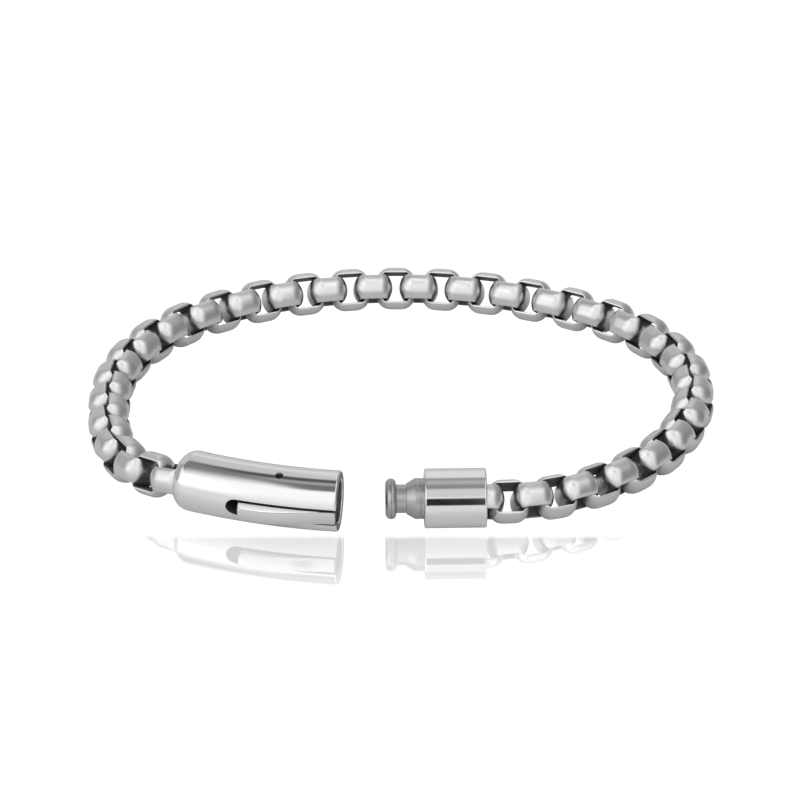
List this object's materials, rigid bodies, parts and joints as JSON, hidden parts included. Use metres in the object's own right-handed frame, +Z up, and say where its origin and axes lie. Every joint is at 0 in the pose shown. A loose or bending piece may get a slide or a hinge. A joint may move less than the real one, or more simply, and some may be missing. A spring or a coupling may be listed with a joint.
{
  "type": "box chain bracelet",
  "caption": "Round box chain bracelet in polished steel with a curved barrel socket, a side lever and a turned push-in plug, lying open.",
  "frame": {"origin": "middle of the footprint, on the surface that the bracelet lies on", "axes": "+Z up, +X to the right along the clasp from the barrel to the plug, -Y towards the side with the clasp"},
  "size_m": [0.0722, 0.0597, 0.0069],
  "materials": {
    "polished_steel": "mirror polished stainless steel",
    "turned_steel": "turned stainless steel with fine lathe lines"
  },
  "bodies": {
    "bracelet": {"chain": "polished_steel", "barrel": "polished_steel", "lever_pin": "turned_steel", "collar": "polished_steel", "tongue": "turned_steel"},
    "lever": {"lever": "polished_steel"}
  },
  "joints": [
    {"name": "lever_press", "type": "hinge", "parent": "bracelet", "child": "lever", "pos_m": [-0.01363, -0.026, 0.00335], "axis": [0.0296, 0.1182, -0.9925], "range_deg": [0, 10], "stiffness_Nm_per_rad": 0.005, "springref_deg": -2.86}
  ]
}
